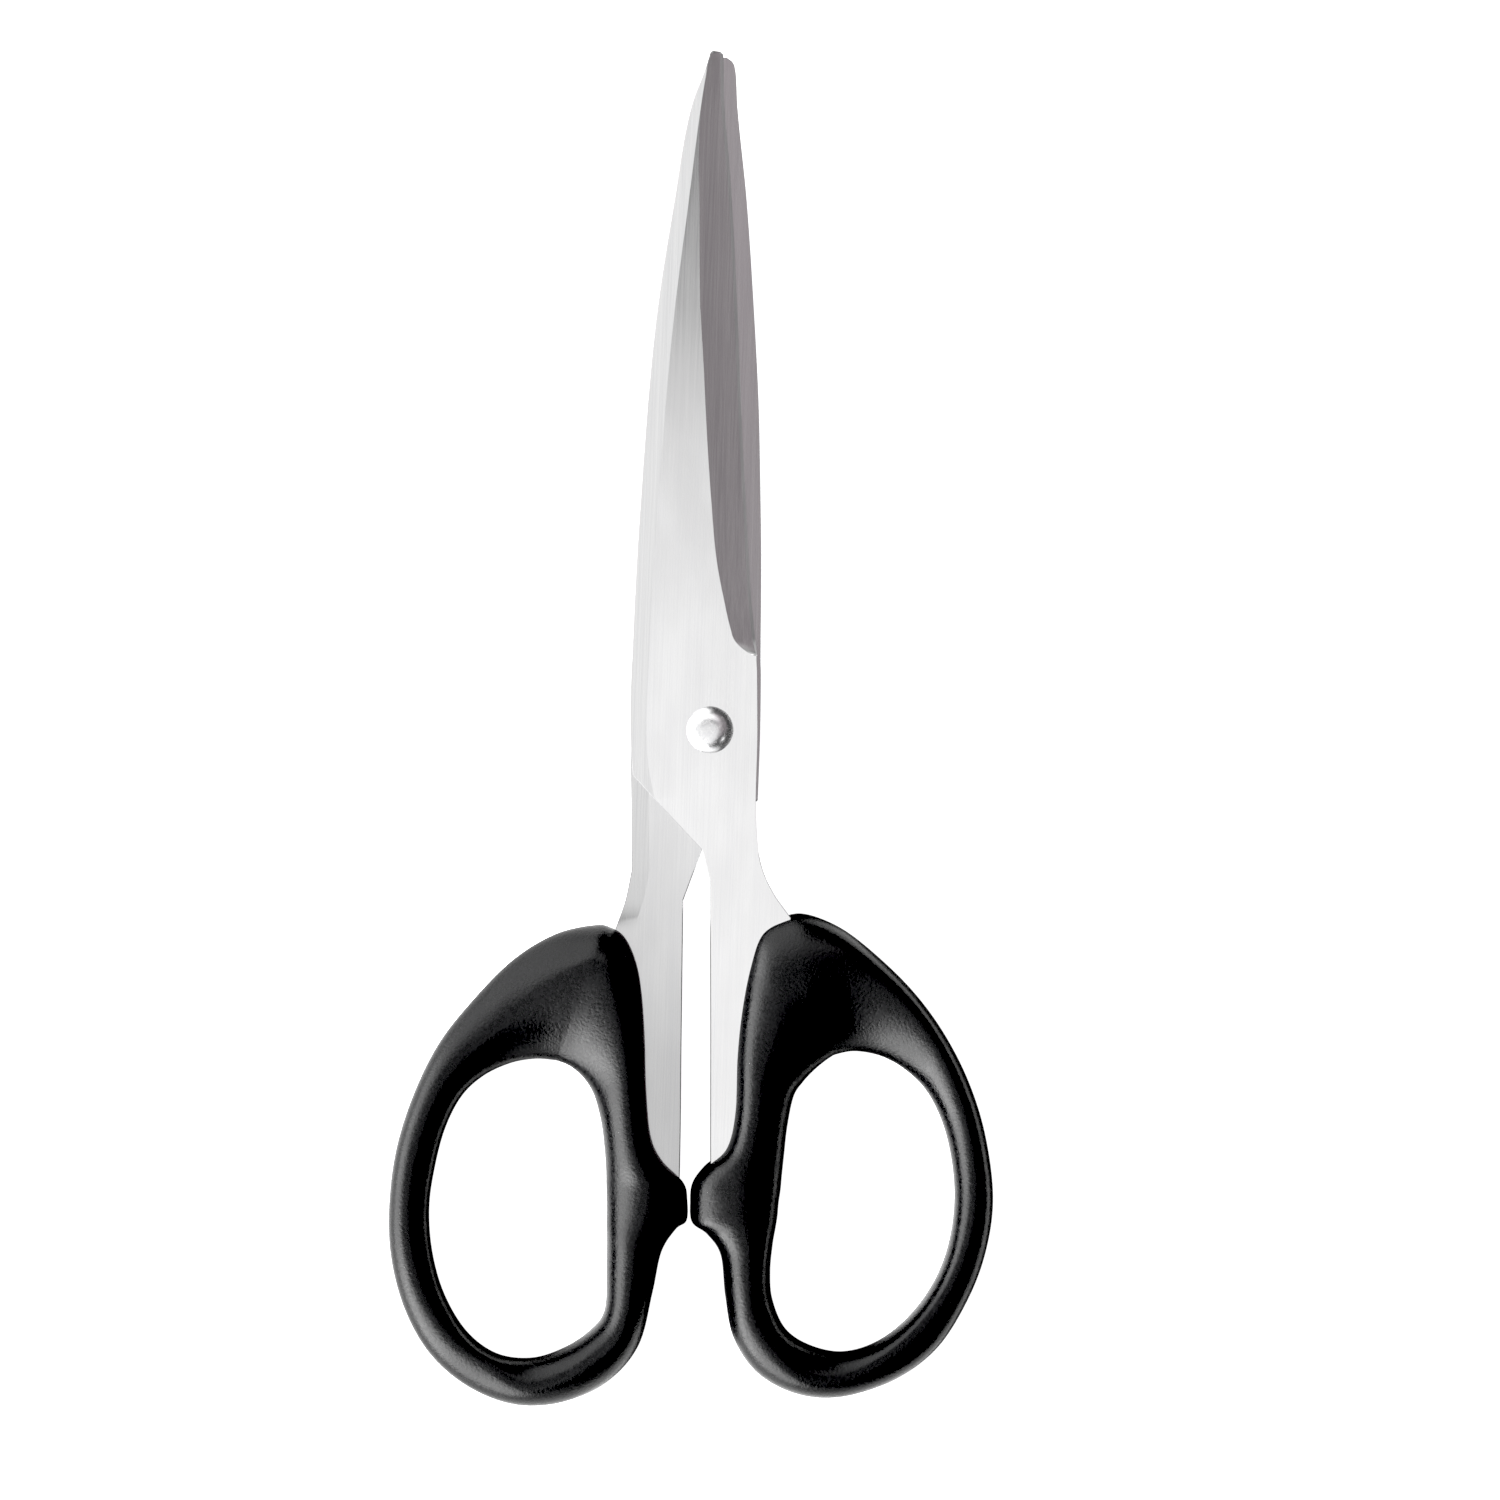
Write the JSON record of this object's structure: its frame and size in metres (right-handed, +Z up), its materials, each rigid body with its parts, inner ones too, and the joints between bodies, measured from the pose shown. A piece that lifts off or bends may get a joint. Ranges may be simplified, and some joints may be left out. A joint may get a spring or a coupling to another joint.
{
  "type": "office scissors",
  "caption": "Straight office scissors: two ground steel blades on a domed rivet, with black moulded finger loops and stop pads.",
  "frame": {"origin": "under the middle of the closed pair's bounding box, on the plane that the grips lie on", "axes": "+Y towards the blade tips, +Z up out of the table, towards the rivet's domed head"},
  "size_m": [0.0803, 0.1807, 0.009],
  "materials": {
    "blade_steel": "ground and brushed along the blade",
    "handle_plastic": "fine matte grain",
    "rivet_steel": "polished"
  },
  "bodies": {
    "back_half": {"back_blade": "blade_steel", "left_handle": "handle_plastic", "pivot_rivet": "rivet_steel", "pivot_washer": "rivet_steel"},
    "front_half": {"front_blade": "blade_steel", "right_handle": "handle_plastic"}
  },
  "joints": [
    {"name": "pivot", "type": "hinge", "parent": "back_half", "child": "front_half", "pos_m": [0.0004, 0.0004, 0.0045], "axis": [0, 0, 1], "range_deg": [0, 110]}
  ]
}
